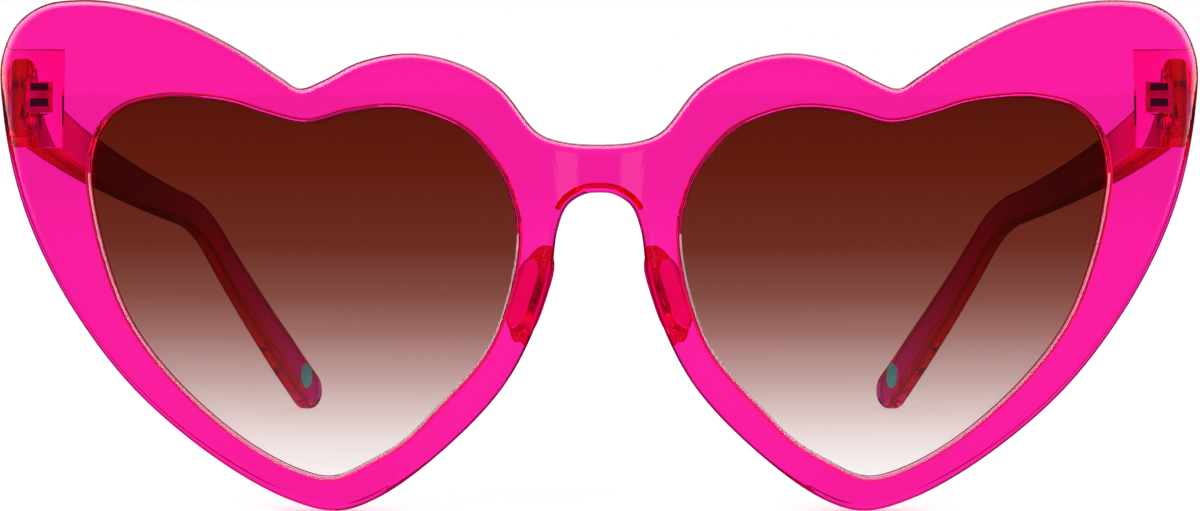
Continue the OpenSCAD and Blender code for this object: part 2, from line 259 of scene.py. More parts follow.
@dataclass(frozen=True)
class Ripple:
    """Uneven surface of a finish: how wide and how high its bumps are, in millimetres."""

    width: float
    height: float
    stretch: Triple = (1.0, 1.0, 1.0)

    def normal(self, tree: NodeTree, below: Socket | None = None) -> Socket:
        """Adds the bumps to a material.

        Args:
            tree: The material's node tree.
            below: The normal that these bumps are laid over.

        Returns:
            The bumped normal.
        """
        drawn = {"Vector": model_place(tree), "Scale": self.stretch}
        place = add_node(tree, "ShaderNodeMapping", drawn).outputs[0]
        bumps = {"Vector": place, "Scale": per_mm(self.width), "Detail": 2.0, "Roughness": 0.5}
        noise = add_node(tree, "ShaderNodeTexNoise", bumps)
        inputs = {"Height": noise.outputs["Fac"], "Distance": self.height * MM, "Strength": 1.0}
        if below is not None:
            inputs["Normal"] = below
        return add_node(tree, "ShaderNodeBump", inputs).outputs["Normal"]


def see_through(
    material: Material, tree: NodeTree, glass: dict[str, object], shadow: str, volume: Node | None = None
) -> Material:
    """Ends a material that is clear to the eye and throws a tinted shadow.

    Args:
        material: The material.
        tree: Its node tree.
        glass: Colour, roughness, index of refraction and normal of the glass.
        shadow: The colour of the light that a shadow ray finds.
        volume: The volume shader, if there is one.

    Returns:
        The material.
    """
    surface = add_node(tree, "ShaderNodeBsdfPrincipled", {**glass, "Transmission Weight": 1.0})
    clear = add_node(tree, "ShaderNodeBsdfTransparent", {"Color": linear(shadow)})
    in_shadow = add_node(tree, "ShaderNodeLightPath").outputs["Is Shadow Ray"]
    inputs = {"Surface": mix_shaders(tree, in_shadow, surface, clear).outputs[0]}
    if volume is not None:
        inputs["Volume"] = volume.outputs[0]
    add_node(tree, "ShaderNodeOutputMaterial", inputs)
    return material


@dataclass(frozen=True)
class ClearPlastic:
    """Clear cellulose acetate, cut from sheet and tumble polished.

    The eye sees a wet gloss, light that comes through hot pink, and a darker, redder
    colour where the way through the plastic is longer. The dark outline where the rim turns
    and the faint pink on the walls are painted shade.
    """

    name: str = "polished_pink_acetate"
    tint: str = "#FF00E4"
    density: float = 965.0
    shadow: str = "#FF8CC8"
    # Colours of the polished face, and the painted shade of the shoulder where it turns and of the wall
    skin: str = WHITE
    shoulder: str = "#5A1440"
    wall: str = "#F4C8D8"
    # Shares of a wall where the face ends, the painted shade of the shoulder starts and ends,
    # and the wall's painted shade starts
    turns: tuple[float, float, float, float] = (0.18, 0.38, 0.75, 0.9)
    # Painted shade along the piece: millimetres along the model's Y, with the colours that it
    # multiplies onto the faces and onto the walls
    dye: ShadeStops = ()
    ior: float = 1.49
    roughness: float = 0.02
    # Tumbling leaves the sheet very slightly wavy, with faint fine dimples
    wave: Ripple = Ripple(width=12.0, height=0.005)
    dimple: Ripple = Ripple(width=1.4, height=0.0006)

    def build(self) -> Material:
        """Makes the material.

        Returns:
            The material.
        """
        material, tree = new_material(self.name)
        # Painted shade: by the edge value the rim darkens where it turns, and the walls take a faint pink
        edge = add_node(tree, "ShaderNodeAttribute", attribute_name=PAINTED_SHADE_MASK).outputs["Fac"]
        colours = (self.skin, self.shoulder, self.shoulder, self.wall)
        glass = {
            "Base Color": self._dyed(tree, blend(tree, edge, tuple(zip(self.turns, colours))), edge),
            "Roughness": self.roughness,
            "IOR": self.ior,
            "Normal": self.dimple.normal(tree, self.wave.normal(tree)),
        }
        inside = {"Color": linear(self.tint), "Density": self.density}
        volume = add_node(tree, "ShaderNodeVolumeAbsorption", inside)
        return see_through(material, tree, glass, self.shadow, volume)

    def _dyed(self, tree: NodeTree, colour: Socket, edge: Socket) -> Socket:
        """Lays the painted shade along the piece over a colour.

        Args:
            tree: The material's node tree.
            colour: The colour without the painted shade.
            edge: Share of a wall, from zero on a face to one on a wall.

        Returns:
            The colour with the painted shade, or the same one where there is none.
        """
        if not self.dye:
            return colour
        first, last = self.dye[0][0], self.dye[-1][0]
        share = spread(tree, model_axis(tree, "Y"), first * MM, last * MM)
        tones = []
        for column in (1, 2):
            stops = [((stop[0] - first) / (last - first), stop[column]) for stop in self.dye]
            tones.append(blend(tree, share, stops))
        return mix_colours(tree, 1.0, colour, mix_colours(tree, edge, *tones), "MULTIPLY")


@dataclass(frozen=True)
class CrimsonAcetate(ClearPlastic):
    """Acetate of a deeper red, tumbled to a softer gloss before it is cemented on.

    The eye sees a crimson leaf behind the pink plate, as bright at its rim as on its face.
    """

    name: str = "tumbled_crimson_acetate"
    tint: str = "#FC00E4"
    roughness: float = 0.03
    shoulder: str = WHITE
    wall: str = WHITE


@dataclass(frozen=True)
class DippedAcetate(ClearPlastic):
    """Pink acetate, cut and polished, with shade painted along the temple.

    The eye sees a dark magenta along the temple, and towards the tip crimson faces
    between bright pink walls; the darker middle and the darker faces are painted shade.
    """

    name: str = "deep_dyed_pink_acetate"
    tint: str = "#FF00E8"
    # Painted shade on the rounded rims
    shoulder: str = "#B07080"
    wall: str = WHITE
    # Painted shade: darkest at the middle of the temple, and darker on the faces than on the walls
    dye: ShadeStops = (
        (-56.0, "#FFA0A0", "#FFA0A0"),
        (-45.0, "#FAC4D0", "#FFD8F0"),
        (-31.0, "#FFC4D8", "#FFE0FF"),
        (-24.0, "#F0BCCC", "#F8D0E8"),
        (-19.0, "#B49AAC", "#A48090"),
        (4.0, "#9C8599", "#947890"),
        (24.0, "#B898A8", "#B898A8"),
        (38.0, "#DC8CA8", "#F4E0FF"),
        (55.0, "#D07C98", "#ECD4FF"),
        (72.0, "#BC6CA8", "#E8C8FF"),
    )


@dataclass(frozen=True)
class TintedLens:
    """Cast nylon sunglass lens, dip dyed from the top and hard coated.

    The eye sees a brown that is nearly black cherry at the top and fades to clear at the
    bottom, behind a hard, even gloss.
    """

    name: str = "dip_dyed_nylon_lens"
    low: float = 4.0
    high: float = 52.0
    # Shares of the height with the colour of white light that has passed
    tints: tuple[tuple[float, str], ...] = (
        (0.0, WHITE),
        (0.1, "#F1E4E3"),
        (0.25, "#C7A7A3"),
        (0.37, "#A4726D"),
        (0.47, "#864E43"),
        (0.6, "#702D22"),
        (0.8, "#691E0F"),
        (1.0, "#5C1307"),
    )
    ior: float = 1.5
    roughness: float = 0.01
    shadow: str = "#C08A80"
    # Dipping leaves a faint unevenness in the coat
    coat: Ripple = Ripple(width=14.0, height=0.004)

    def build(self) -> Material:
        """Makes the material.

        Returns:
            The material.
        """
        material, tree = new_material(self.name)
        share = spread(tree, model_axis(tree, "Z"), self.low * MM, self.high * MM)
        glass = {
            "Base Color": blend(tree, share, self.tints),
            "Roughness": self.roughness,
            "IOR": self.ior,
            "Normal": self.coat.normal(tree),
        }
        return see_through(material, tree, glass, self.shadow)


@dataclass(frozen=True)
class Metal:
    """Bare metal with a worked surface.

    The eye sees a grey that mirrors softly, with streaks along the way it was worked and
    duller patches where it has been handled.
    """

    name: str
    bright: str
    dull: str
    smooth: float
    rough: float
    grain: Ripple
    patch: float = 1.2
    # Noise where the surface is bright, and where it is dull
    patches: Pair = (0.35, 0.7)
    metallic: float = 1.0
    # Painted shade: colour of what lies ahead of a place along the model's Y, in millimetres
    ahead: str = "#0C0A0A"
    ahead_of: float | None = None

    def build(self) -> Material:
        """Makes the material.

        Returns:
            The material.
        """
        material, tree = new_material(self.name)
        inputs = {"Vector": model_place(tree), "Scale": per_mm(self.patch), "Detail": 4.0}
        noise = add_node(tree, "ShaderNodeTexNoise", inputs).outputs["Fac"]
        colour = blend(tree, noise, tuple(zip(self.patches, (self.bright, self.dull))))
        # Painted shade: what lies ahead of that place takes the dark colour
        if self.ahead_of is not None:
            limit = {0: model_axis(tree, "Y"), 1: self.ahead_of * MM}
            behind = add_node(tree, "ShaderNodeMath", limit, operation="GREATER_THAN").outputs[0]
            colour = mix_colours(tree, behind, linear(self.ahead), colour)
        surface = {
            "Base Color": colour,
            "Metallic": self.metallic,
            "Roughness": between(tree, noise, self.smooth, self.rough),
            "Normal": self.grain.normal(tree),
        }
        shader = add_node(tree, "ShaderNodeBsdfPrincipled", surface)
        add_node(tree, "ShaderNodeOutputMaterial", {"Surface": shader.outputs[0]})
        return material


@dataclass(frozen=True)
class NickelSilver(Metal):
    """Nickel silver strip, stamped and left bare.

    The eye sees a warm, half dull grey with fine level streaks.
    """

    name: str = "stamped_nickel_silver"
    bright: str = "#B9B4AE"
    dull: str = "#7E7872"
    smooth: float = 0.22
    rough: float = 0.42
    grain: Ripple = Ripple(0.25, 0.002, (1.0, 1.0, 6.0))


@dataclass(frozen=True)
class BlackenedSilver(NickelSilver):
    """Silver strip, stamped and left bare, with near black shade painted on its prongs.

    The eye sees a pale satin leaf, and prongs painted nearly black as shade where they sit in the
    plastic.
    """

    name: str = "stamped_silver_with_blackened_prongs"
    bright: str = "#D8D2CC"
    dull: str = "#A8A29C"
    smooth: float = 0.35
    rough: float = 0.55
    # The prongs, which lie ahead of this place, take the painted shade
    ahead_of: float | None = -56.3


@dataclass(frozen=True)
class TurnedSteel(Metal):
    """Steel rod, turned on a lathe.

    The eye sees a cool, bright grey with sharp glints.
    """

    name: str = "turned_steel"
    bright: str = "#C4C6CA"
    dull: str = "#8C8E93"
    smooth: float = 0.12
    rough: float = 0.3
    grain: Ripple = Ripple(0.15, 0.001)


@dataclass(frozen=True)
class SatinEnamel(Metal):
    """Metal disc under a coat of stoved teal enamel, which hides the metal.

    The eye sees an even teal with a satin shine.
    """

    name: str = "satin_enamelled_disc"
    bright: str = "#62D4D4"
    dull: str = "#4FB3B4"
    smooth: float = 0.3
    rough: float = 0.42
    grain: Ripple = Ripple(0.5, 0.002)
    metallic: float = 0.0


@dataclass(frozen=True)
class PaintedBoard:
    """Board under a matt white paint, lit so that only the object's shadow shows.

    The eye sees pure white with a soft shadow, and mirrors see a dark ground.
    """

    name: str = "matt_painted_board"
    # Paint and glow to the bare eye, and through glass, where the board is as even as the surround
    white: Pair = (0.79, 0.24)
    glow: Pair = (0.53, 0.77)
    mirror: str = "#202020"

    def build(self) -> Material:
        """Makes the material.

        Returns:
            The material.
        """
        material, tree = new_material(self.name)
        path = add_node(tree, "ShaderNodeLightPath")
        through = path.outputs["Is Transmission Ray"]
        paint = add_node(tree, "ShaderNodeBsdfDiffuse", {"Color": between(tree, through, *self.white)})
        level = between(tree, through, *self.glow)
        shine = add_node(tree, "ShaderNodeEmission", {"Color": linear(WHITE), "Strength": level})
        lit = add_node(tree, "ShaderNodeAddShader", {0: paint.outputs[0], 1: shine.outputs[0]})
        dark = add_node(tree, "ShaderNodeBsdfDiffuse", {"Color": linear(self.mirror)})
        other = mix_shaders(tree, path.outputs["Is Glossy Ray"], paint, dark)
        seen = mix_shaders(tree, in_view(tree, path), other, lit)
        add_node(tree, "ShaderNodeOutputMaterial", {"Surface": seen.outputs[0]})
        return material


@dataclass(frozen=True)
class Stance:
    """How the upright drawing, in millimetres, stands in the model's frame, in metres."""

    lean: float = 2.98192
    middle: float = 71.9496
    foot: float = 6.2816

    def matrix(self) -> Matrix:
        """Turns upright millimetres into the model's metres.

        Returns:
            The matrix that does it.
        """
        lean = math.radians(self.lean)
        lift = Matrix.Translation((0, -self.middle, self.foot * math.sin(lean)))
        return Matrix.Scale(MM, 4) @ lift @ Matrix.Rotation(-lean, 4, "X")


@dataclass(frozen=True)
class HingeFrame:
    """Place and lean of the left hinge: its axis up, the open temple along +Y."""

    across: float = 69.9
    back: float = 16.1415
    up: float = 51.0
    drop: float = 7.15
    setback: float = 1.9
    axis_inset: float = 0.3

    def matrix(self) -> Matrix:
        """Turns the hinge's own millimetres into upright ones."""
        place = Matrix.Translation((self.across, self.back, self.up))
        return place @ Matrix.Rotation(-math.radians(self.drop), 4, "X")


STANCE = Stance()
HINGE = HingeFrame()


def every(step: float, low: float, high: float) -> list[float]:
    """Whole multiples of a step between two limits."""
    return [step * k for k in range(math.ceil(low / step), math.floor(high / step) + 1)]


def about(half: float, middle: float = 0.0) -> Pair:
    """Reach of half a size to both sides of a place."""
    return middle - half, middle + half


def eased(share: float) -> float:
    """Share that starts and ends gently."""
    return 3 * share * share - 2 * share**3


def slope(angle: float) -> Vector:
    """Direction square to an edge that runs down by an angle in radians."""
    return Vector((math.sin(angle), math.cos(angle)))


def meeting(place: Vector, way: Vector, radius: float, sign: int) -> float:
    """Finds where a line meets a circle about the origin.

    Args:
        place: A point of the line.
        way: The line's direction.
        radius: The circle's radius.
        sign: -1 for the first meeting along the line, 1 for the second.

    Returns:
        The share of the direction that leads there from the point.
    """
    half, square = place.dot(way), way.dot(way)
    root = math.sqrt(half**2 - square * (place.dot(place) - radius * radius))
    return (-half + sign * root) / square


def smooth_loop(points: Sequence[Pair], steps: int) -> list[Vector]:
    """Runs a closed smooth curve through points, at a pace that suits their spacing.

    Args:
        points: The points that the curve passes through.
        steps: Steps from one point to the next.

    Returns:
        The points along the curve.
    """
    knots = [Vector(p) for p in points]
    count = len(knots)

    def pace(a: Vector, b: Vector) -> float:
        """Square root of the way between two points."""
        return math.sqrt((b - a).length)

    def tangent(a: Vector, b: Vector, c: Vector) -> Vector:
        """Tangent at the middle one of three points."""
        return (b - a) / pace(a, b) - (c - a) / (pace(a, b) + pace(b, c)) + (c - b) / pace(b, c)

    curve = []
    for i in range(count):
        a, b, c, d = (knots[(i + k) % count] for k in (-1, 0, 1, 2))
        m, n = tangent(a, b, c) * pace(b, c), tangent(b, c, d) * pace(b, c)
        for k in range(steps):
            t = k / steps
            curve.append(
                (2 * t**3 - 3 * t**2 + 1) * b
                + (t**3 - 2 * t**2 + t) * m
                + (3 * t**2 - 2 * t**3) * c
                + (t**3 - t**2) * n
            )
    return curve


def grown(outline: Sequence[Vector], way: float) -> list[Vector]:
    """Moves an outline square to itself.

    Args:
        outline: The outline's points.
        way: How far to move it, outwards where it runs clockwise.

    Returns:
        The moved points.
    """
    moved = []
    for i, point in enumerate(outline):
        along = outline[(i + 1) % len(outline)] - outline[i - 1]
        moved.append(point - way * Vector((along.y, -along.x)).normalized())
    return moved


def loop_of(bm: BMesh, outline: Sequence[Vector], depth: float) -> list[BMVert]:
    """Draws an outline as a ring of edges, across as X and up as Z.

    Args:
        bm: The mesh to draw it in.
        outline: The outline's points.
        depth: The ring's Y.

    Returns:
        The ring's vertices, in order.
    """
    ring = bmesh.ops.create_circle(bm, segments=len(outline), radius=1.0)["verts"]
    for vertex, point in zip(ring, outline):
        vertex.co = (point.x, depth, point.y)
    return ring


def divide(bm: BMesh, axis: int, places: Iterable[float]) -> None:
    """Cuts a mesh's faces along flat planes, so that it can bend there.

    Args:
        bm: The mesh.
        axis: The axis that the planes are square to: 0, 1 or 2.
        places: Where they lie along it.
    """
    square = Vector((axis == 0, axis == 1, axis == 2))
    for place in places:
        everything = bm.verts[:] + bm.edges[:] + bm.faces[:]
        bmesh.ops.bisect_plane(bm, geom=everything, dist=1e-4, plane_co=square * place, plane_no=square)


def warp_all(bm: BMesh, warp: Warp) -> None:
    """Moves a mesh's points, and turns its faces outwards.

    Args:
        bm: The mesh.
        warp: Where each point goes.
    """
    for vertex in bm.verts:
        vertex.co = warp(vertex.co.copy())
    bmesh.ops.recalc_face_normals(bm, faces=bm.faces[:])


@dataclass
class Plate:
    """A plate with rounded rims, cut from an outline and then bent.

    Attributes:
        outline: The plate's outline.
        thickness: How far it runs back from depth zero.
        front_rim: Radius of the rim's rounding at depth zero.
        back_rim: Radius of the rounding at the far face.
        cuts: Places across X where the plate may bend.
        rim_steps: Faces along each rounding.
        margin: Width of the flat ring inside the rounding, which keeps the face flat.
        layers: Depths where the wall is divided.
        rows: Places up Z where the plate may bend.
        merge: Points closer than this become one.
    """

    outline: Sequence[Vector]
    thickness: float
    front_rim: float
    back_rim: float
    cuts: Iterable[float] = ()
    rim_steps: int = 5
    margin: float = 0.35
    layers: Iterable[float] = ()
    rows: Iterable[float] = ()
    merge: float = 0.02

    def build(self, warp: Warp) -> BMesh:
        """Makes the plate flat and then bends it.

        Args:
            warp: Where each point of the flat plate goes.

        Returns:
            The bent plate.
        """
        bm = bmesh.new()
        loop_of(bm, self.outline, self.front_rim)
        bmesh.ops.triangle_fill(bm, edges=bm.edges[:], use_beauty=True)
        made = bmesh.ops.extrude_face_region(bm, geom=bm.faces[:])["geom"]
        moved = [g for g in made if isinstance(g, BMVert)]
        run = self.thickness - self.front_rim - self.back_rim
        bmesh.ops.translate(bm, verts=moved, vec=(0, run, 0))
        bmesh.ops.recalc_face_normals(bm, faces=bm.faces[:])
        self._round(bm, -1, self.front_rim)
        self._round(bm, 1, self.back_rim)
        for axis, places in enumerate((self.cuts, self.layers, self.rows)):
            divide(bm, axis, places)
        bmesh.ops.remove_doubles(bm, verts=bm.verts[:], dist=self.merge)
        bm.normal_update()
        # Mask for the shade that the plastics paint on the rims
        edge = bm.verts.layers.float.new(PAINTED_SHADE_MASK)
        for vertex in bm.verts:
            vertex[edge] = 1 - abs(vertex.normal.y)
        warp_all(bm, warp)
        if bm.calc_volume(signed=True) < 0:
            bmesh.ops.reverse_faces(bm, faces=bm.faces[:])
        return bm

    def _round(self, bm: BMesh, way: int, radius: float) -> None:
        """Rounds the rim of the face that looks along one way.

        Args:
            bm: The flat plate.
            way: -1 for the front face, 1 for the back.
            radius: The rounding's radius.
        """
        region = [f for f in bm.faces if f.normal.y * way > FACING]
        turns = [k / self.rim_steps * math.pi / 2 for k in range(self.rim_steps + 1)]
        for low, high in zip(turns, turns[1:]):
            self._step(bm, region, radius * (math.cos(low) - math.cos(high)))
            lift = way * radius * (math.sin(high) - math.sin(low))
            bmesh.ops.translate(bm, verts=list({v for f in region for v in f.verts}), vec=(0, lift, 0))
        self._step(bm, region, self.margin)

    @staticmethod
    def _step(bm: BMesh, region: list[bmesh.types.BMFace], inset: float) -> None:
        """Draws a ring of faces round the inside of a region."""
        bmesh.ops.inset_region(bm, faces=region, thickness=inset, use_boundary=True, use_even_offset=True)


def mirrored(bm: BMesh) -> BMesh:
    """Turns a left hand solid into its right hand one.

    Args:
        bm: The solid, which is changed.

    Returns:
        The same solid.
    """
    bm.transform(Matrix.Scale(-1, 4, (1, 0, 0)))
    bmesh.ops.reverse_faces(bm, faces=bm.faces[:])
    return bm


def shown(name: str, data: bpy.types.ID) -> Object:
    """Puts a mesh, camera or lamp in the scene as an object.

    Args:
        name: The object's name.
        data: What it shows.

    Returns:
        The object, at the origin.
    """
    thing = bpy.data.objects.new(name, data)
    bpy.context.scene.collection.objects.link(thing)
    return thing


def finished(
    bm: BMesh, name: str, matrix: Matrix, side: Side = Side.LEFT, sharp: float = 38.0
) -> Object:
    """Makes an object of a mesh, on its side and in place.

    Args:
        bm: The mesh, which is used up.
        name: The object's name.
        matrix: From the mesh's own lengths to the model's frame.
        side: The side that it goes on.
        sharp: Angle in degrees past which an edge stays sharp.

    Returns:
        The object, at the origin.
    """
    bm.transform(matrix)
    if side is Side.RIGHT:
        mirrored(bm)
    for face in bm.faces:
        face.smooth = True
    for edge in bm.edges:
        edge.smooth = not edge.is_manifold or edge.calc_face_angle(0.0) < math.radians(sharp)
    mesh = bpy.data.meshes.new(name)
    bm.to_mesh(mesh)
    bm.free()
    return shown(name, mesh)


def carve(base: BMesh, tool: BMesh, cut: Cut) -> BMesh:
    """Joins, cuts or trims one closed solid with another.

    Args:
        base: The solid that stays, which is used up.
        tool: The solid that works on it, which is used up.
        cut: What the tool does.

    Returns:
        The result.
    """
    pair = [finished(bm, name, Matrix.Identity(4)) for bm, name in ((base, "carved"), (tool, "tool"))]
    modifier = pair[0].modifiers.new("carve", "BOOLEAN")
    modifier.object, modifier.operation, modifier.solver = pair[1], cut.value, "MANIFOLD"
    bpy.context.view_layer.update()
    made = pair[0].evaluated_get(bpy.context.evaluated_depsgraph_get()).to_mesh()
    bm = bmesh.new()
    bm.from_mesh(made)
    for piece in pair:
        mesh = piece.data
        bpy.data.objects.remove(piece)
        bpy.data.meshes.remove(mesh)
    return bm


def block(x: Pair, y: Pair, z: Pair, frame: Matrix) -> BMesh:
    """Makes a box.

    Args:
        x: Its reach across.
        y: Its reach back.
        z: Its reach up.
        frame: The frame that it is drawn in.

    Returns:
        The box, as a mesh.
    """
    bm = bmesh.new()
    bmesh.ops.create_cube(bm, size=1.0)
    size = Matrix.Diagonal((x[1] - x[0], y[1] - y[0], z[1] - z[0], 1))
    middle = Matrix.Translation(((x[0] + x[1]) / 2, (y[0] + y[1]) / 2, (z[0] + z[1]) / 2))
    bm.transform(frame @ middle @ size)
    return bm


def drum(radius: float, reach: Pair, frame: Matrix, segments: int = 48) -> BMesh:
    """Makes a round solid along the frame's Z.

    Args:
        radius: Its radius.
        reach: Where it starts and ends.
        frame: The frame that it is drawn in.
        segments: Faces round it.

    Returns:
        The solid, as a mesh.
    """
    bm = bmesh.new()
    bmesh.ops.create_cone(
        bm, cap_ends=True, segments=segments, radius1=radius, radius2=radius, depth=reach[1] - reach[0]
    )
    bm.transform(frame @ Matrix.Translation((0, 0, (reach[0] + reach[1]) / 2)))
    return bm


def dress(piece: Object, material: Material, body: str, node: str) -> None:
    """Gives a new piece its finish, and its place in the frame.

    Args:
        piece: The piece.
        material: Its material.
        body: The body that it moves with.
        node: The fixed node that it stands for.
    """
    piece.data.materials.clear()
    piece.data.materials.append(material)
    # Wide faces rule the shading, so a long thin triangle beside a rim stays flat
    weighted = piece.modifiers.new("flat_faces", "WEIGHTED_NORMAL")
    weighted.keep_sharp, weighted.weight = True, 90
    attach(piece, body)
    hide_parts(node)
    LOG.info("%s: %d faces on %s", piece.name, len(piece.data.polygons), body)


@dataclass
class Front:
    """The one plate that holds both lenses, bent round the face."""

    material: Material
    width: float = 150.0
    height: float = 63.3
    thickness: float = 4.5
    bend: float = 300.0
    bridge: float = 20.2
    side_rim: float = 11.7
    top_rim: float = 12.25
    rise: float = 4.25
    outer_round: float = 0.9
    groove_depth: float = 0.5
    groove: Pair = (1.1, 3.0)
    lens_ease: float = 0.25
    lens_bevel: float = 0.68
    arch_bevel: float = 1.25
    # Where the bevel starts and ends, counted in points of the whole outline
    arch_knots: Pair = (29.6, 34.4)
    # Half of the outline, as shares of half the width and of the height
    heart: tuple[Pair, ...] = (
        (0, 0.712), (0.064, 0.7185), (0.1015, 0.7365), (0.162, 0.822), (0.228, 0.869),
        (0.311, 0.890), (0.394, 0.873), (0.455, 0.837), (0.492, 0.8225), (0.5275, 0.8465),
        (0.5945, 0.8995), (0.695, 0.9595), (0.79, 0.992), (0.865, 1), (0.927, 0.99),
        (0.972, 0.953), (0.998, 0.885), (0.9965, 0.79), (0.975, 0.65), (0.938, 0.527),
        (0.873, 0.388), (0.77, 0.234), (0.63, 0.098), (0.51, 0.021), (0.432, 0),
        (0.365, 0.0245), (0.255, 0.119), (0.149, 0.2555), (0.0835, 0.43), (0.068, 0.548),
        (0.052, 0.594), (0.024, 0.616), (0, 0.6195),
    )  # fmt: skip
    # Outline of a lens opening, as shares of its width and height
    opening: tuple[Pair, ...] = (
        (0.487, 0.9305), (0.59, 0.957), (0.66, 0.983), (0.739, 0.997), (0.825, 1),
        (0.92, 0.974), (0.975, 0.915), (0.999, 0.81), (0.992, 0.72), (0.96, 0.569),
        (0.903, 0.41), (0.796, 0.252), (0.633, 0.094), (0.5, 0.0145), (0.427, 0),
        (0.338, 0.044), (0.263, 0.0965), (0.192, 0.176), (0.0715, 0.333), (0.0185, 0.491),
        (0, 0.64), (0.0139, 0.727), (0.0438, 0.806), (0.118, 0.905), (0.2, 0.95),
        (0.284, 0.969), (0.387, 0.958),
    )  # fmt: skip
    seat_x: Pair = (-2.9, 6.0)
    seat_z: Pair = (-6.25, 6.25)
    seat_root: float = 2.6
    # Draft of the seat's walls, outwards and up, for each millimetre back
    seat_draft: Pair = (0.149, 0.236)
    # The solid that holds the seat within the front's outline: depth, thickness and rim
    seat_prism: Triple = (7.0, 12.0, 0.1)
    pocket_x: float = 1.75
    pocket_z: float = 1.95
    pocket_depth: float = 0.85
    prong_x: float = 1.2
    prong_z: float = 0.525
    prong_pitch: float = 1.0
    prong_depth: float = 3.05
    # Depth below a face where the wall of an opening starts, and with it the painted wall shade
    wall_start: float = 0.05
    strip: float = 2.0
    steps: int = 10
    # Points closer than this become one once all is cut
    merge: float = 0.0002

    def depth_at(self, x: float, depth: float) -> float:
        """Y of a point that lies a depth below the bent front face."""
        return self.bend - math.sqrt((self.bend - depth) ** 2 - x * x)

    def bent(self, point: Vector) -> Vector:
        """Bends a point of the flat plate round the face."""
        return Vector((point.x, self.depth_at(point.x, point.y), point.z))

    def lens_outline(self) -> list[Vector]:
        """Outline of the left lens opening.

        Returns:
            Its points, clockwise.
        """
        wide = (self.width - self.bridge) / 2 - self.side_rim
        tall = self.height - self.top_rim - self.rise
        points = [(self.bridge / 2 + x * wide, self.rise + z * tall) for x, z in self.opening]
        return smooth_loop(points, self.steps)

    def heart_outline(self) -> list[Vector]:
        """Outline of the whole front."""
        half = [(x * self.width / 2, z * self.height) for x, z in self.heart]
        return smooth_loop(half + [(-x, z) for x, z in half[-2:0:-1]], self.steps)

    def _swept(
        self, outline: Sequence[Vector], profile: Sequence[Pair]
    ) -> tuple[BMesh, list[list[BMVert]]]:
        """Runs a closed outline along a profile into the plate, still flat.

        Args:
            outline: The outline, clockwise.
            profile: For each ring, how far the outline is grown, and the depth.

        Returns:
            The solid, and the vertices of each of its rings.
        """
        bm = bmesh.new()
        rings = [loop_of(bm, grown(outline, profile[0][0]), profile[0][1])]
        ends = [bm.edges[:]]
        for way, depth in profile[1:]:
            made = bmesh.ops.extrude_edge_only(bm, edges=ends[-1])["geom"]
            fresh = {g for g in made if isinstance(g, BMVert)}
            ring = []
            for old, point in zip(rings[-1], grown(outline, way)):
                vertex = next(e.other_vert(old) for e in old.link_edges if e.other_vert(old) in fresh)
                vertex.co = (point.x, depth, point.y)
                ring.append(vertex)
            rings.append(ring)
            ends = [ends[0], [e for e in bm.edges if e.verts[0] in fresh and e.verts[1] in fresh]]
        for end in ends:
            bmesh.ops.triangle_fill(bm, edges=end, use_beauty=True)
        return bm, rings

    def _arch_cutter(self) -> BMesh:
        """Makes the solid that bevels the back of the arch over the nose.

        Returns:
            The solid.
        """
        first, last = (round(knot * self.steps) for knot in self.arch_knots)
        arch = self.heart_outline()[first : last + 1][::-1]
        bevel, back = self.arch_bevel, self.thickness
        bm, _ = self._swept(arch, [(-OVER, back - bevel - OVER), (bevel + OVER, back + OVER)])
        divide(bm, 0, every(self.strip, -self.bridge / 2, self.bridge / 2))
        warp_all(bm, self.bent)
        return bm

    def _lens_cutter(self) -> BMesh:
        """Makes the solid that leaves the lens opening and its groove, with eased edges.

        Returns:
            The solid.
        """
        ease, bevel, deep, back = self.lens_ease, self.lens_bevel, self.groove_depth, self.thickness
        near, far = self.groove
        profile = [
            (ease + OVER, -OVER), (ease, 0.0), (0.0, ease), (0.0, near), (deep, near), (deep, far),
            (0.0, far), (0.0, back - bevel), (bevel, back), (bevel + OVER, back + OVER),
        ]  # fmt: skip
        bm, rings = self._swept(self.lens_outline(), profile)
        hidden = {v for ring, (way, _) in zip(rings, profile) if way == deep for v in ring}
        divide(bm, 0, every(self.strip, 0, self.width / 2))
        # The opening's walls, all but the groove's floor, take the painted wall shade
        edge = bm.verts.layers.float.new(PAINTED_SHADE_MASK)
        for vertex in bm.verts:
            inside = self.wall_start < vertex.co.y < back - self.wall_start
            vertex[edge] = float(inside and vertex not in hidden)
        warp_all(bm, self.bent)
        return bm

    def _seat_frame(self) -> Matrix:
        """Finds the hinge frame with the draft of the seat's walls.

        Returns:
            The frame.
        """
        draft = Matrix.Identity(4)
        draft[0][1], draft[2][1] = self.seat_draft
        pivot = Matrix.Translation((0, -HINGE.setback, 0))
        return HINGE.matrix() @ pivot @ draft @ pivot.inverted()

    def _seat(self) -> BMesh:
        """Makes the block behind the end piece that the temple closes against.

        Returns:
            The block, within the front's outline.
        """
        back = -HINGE.setback
        seat = block(self.seat_x, (back - self.seat_root, back), self.seat_z, self._seat_frame())
        start, run, rim = self.seat_prism
        prism = Plate(self.heart_outline(), run, rim, rim, rim_steps=1)
        return carve(prism.build(lambda point: point + Vector((0, start, 0))), seat, Cut.KEEP)

    def _pockets(self) -> list[BMesh]:
        """Makes the room behind the seat, and the pocket and slots of the front hinge leaf.

        Returns:
            The solids to cut away, the room first.
        """
        back, frame = -HINGE.setback, HINGE.matrix()
        pocket = (back - self.pocket_depth, back + OVER)
        slot = (back - self.prong_depth, back + OVER / 2)
        tools = [
            block(self.seat_x, (back, back + self.thickness), self.seat_z, self._seat_frame()),
            block(about(self.pocket_x), pocket, about(self.pocket_z), frame),
        ]
        for middle in (-self.prong_pitch, self.prong_pitch):
            tools.append(block(about(self.prong_x), slot, about(self.prong_z, middle), frame))
        return tools

